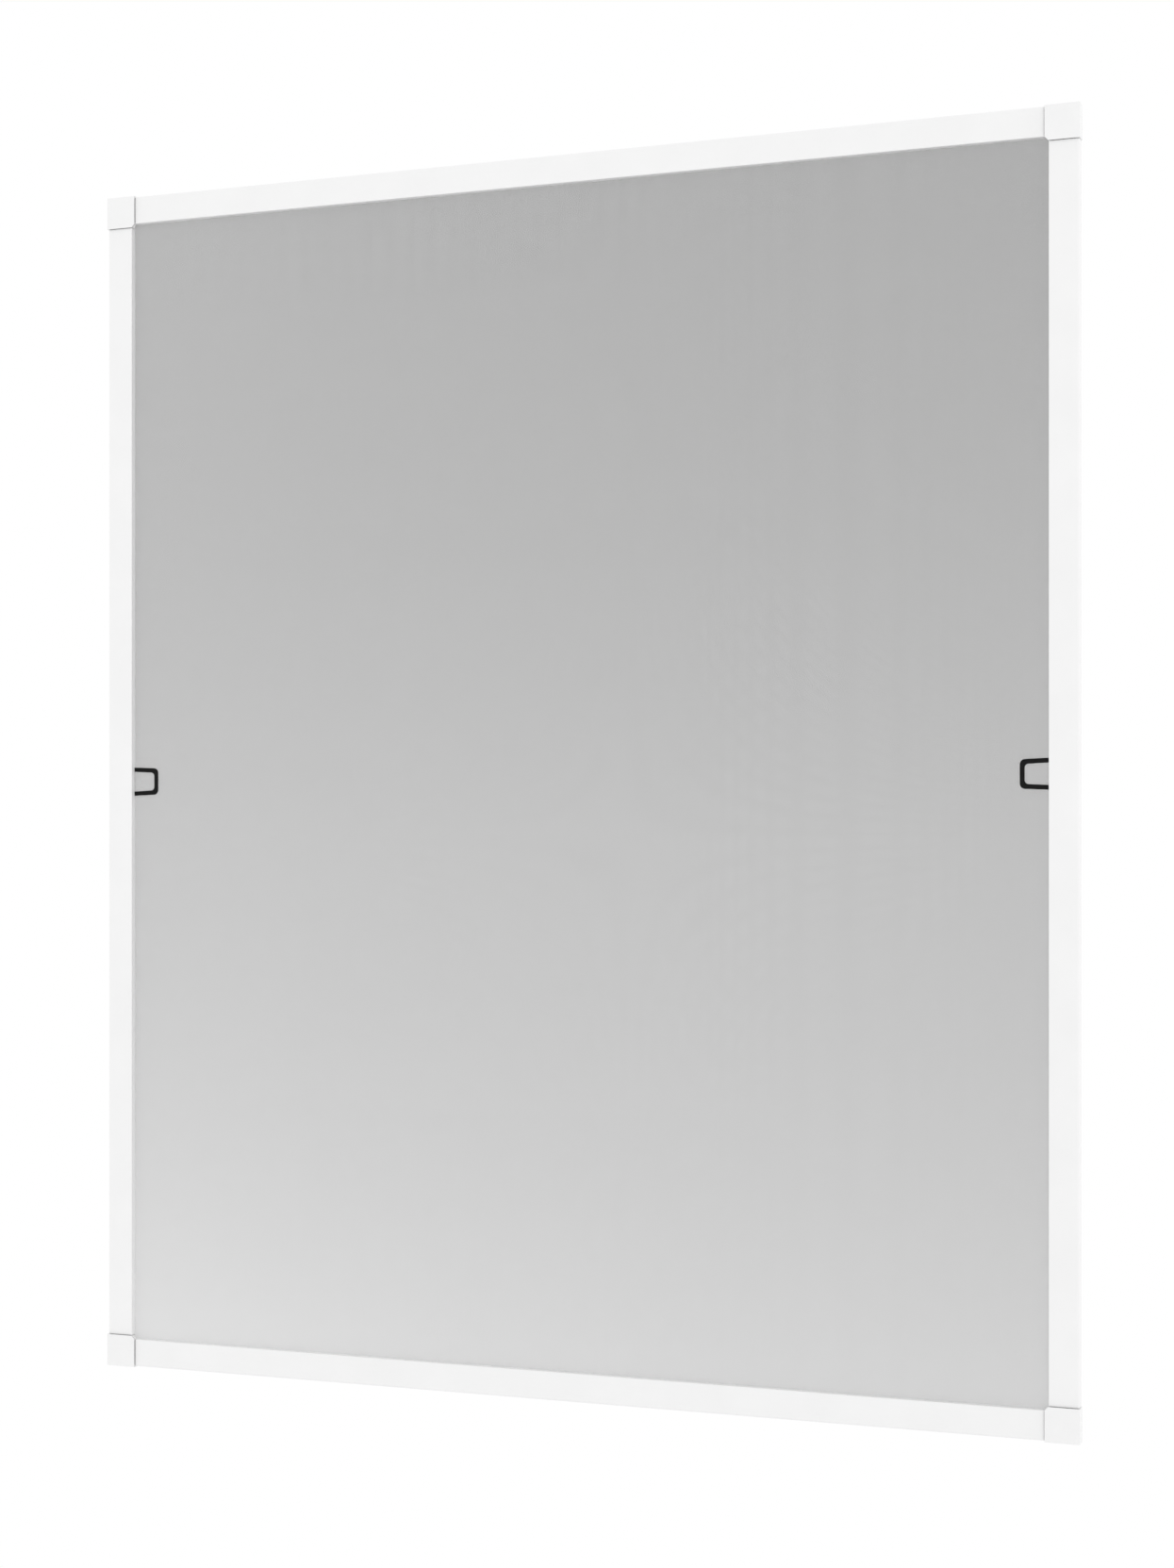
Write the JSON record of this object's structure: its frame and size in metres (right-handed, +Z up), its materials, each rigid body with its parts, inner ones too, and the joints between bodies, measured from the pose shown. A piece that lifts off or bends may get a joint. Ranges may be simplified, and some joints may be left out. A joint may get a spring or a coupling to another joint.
{
  "type": "window screen frame",
  "caption": "Rectangular insect screen for a window: white hollow rails joined by plug-in corner mouldings, a stretched grey mesh held by spline cord, and black pull loops.",
  "frame": {"origin": "middle of the frame's bounding box", "axes": "+X to the right seen from the front, +Y from the front face to the spline side, +Z up"},
  "size_m": [1, 0.0122, 1.2],
  "materials": {
    "white_powder_coat": "satin powder coat",
    "white_plastic": "fine moulded",
    "spline_grey": "matt",
    "mesh_grey": "coated woven yarn",
    "loop_black": "moulded, matt"
  },
  "bodies": {
    "root": {"rail_top": "white_powder_coat", "rail_bottom": "white_powder_coat", "rail_left": "white_powder_coat", "rail_right": "white_powder_coat", "corner_top_left": "white_plastic", "corner_top_right": "white_plastic", "corner_bottom_left": "white_plastic", "corner_bottom_right": "white_plastic", "spline_top": "spline_grey", "spline_bottom": "spline_grey", "spline_left": "spline_grey", "spline_right": "spline_grey", "insect_mesh": "mesh_grey", "pull_loop_left": "loop_black", "pull_loop_right": "loop_black"}
  },
  "joints": []
}
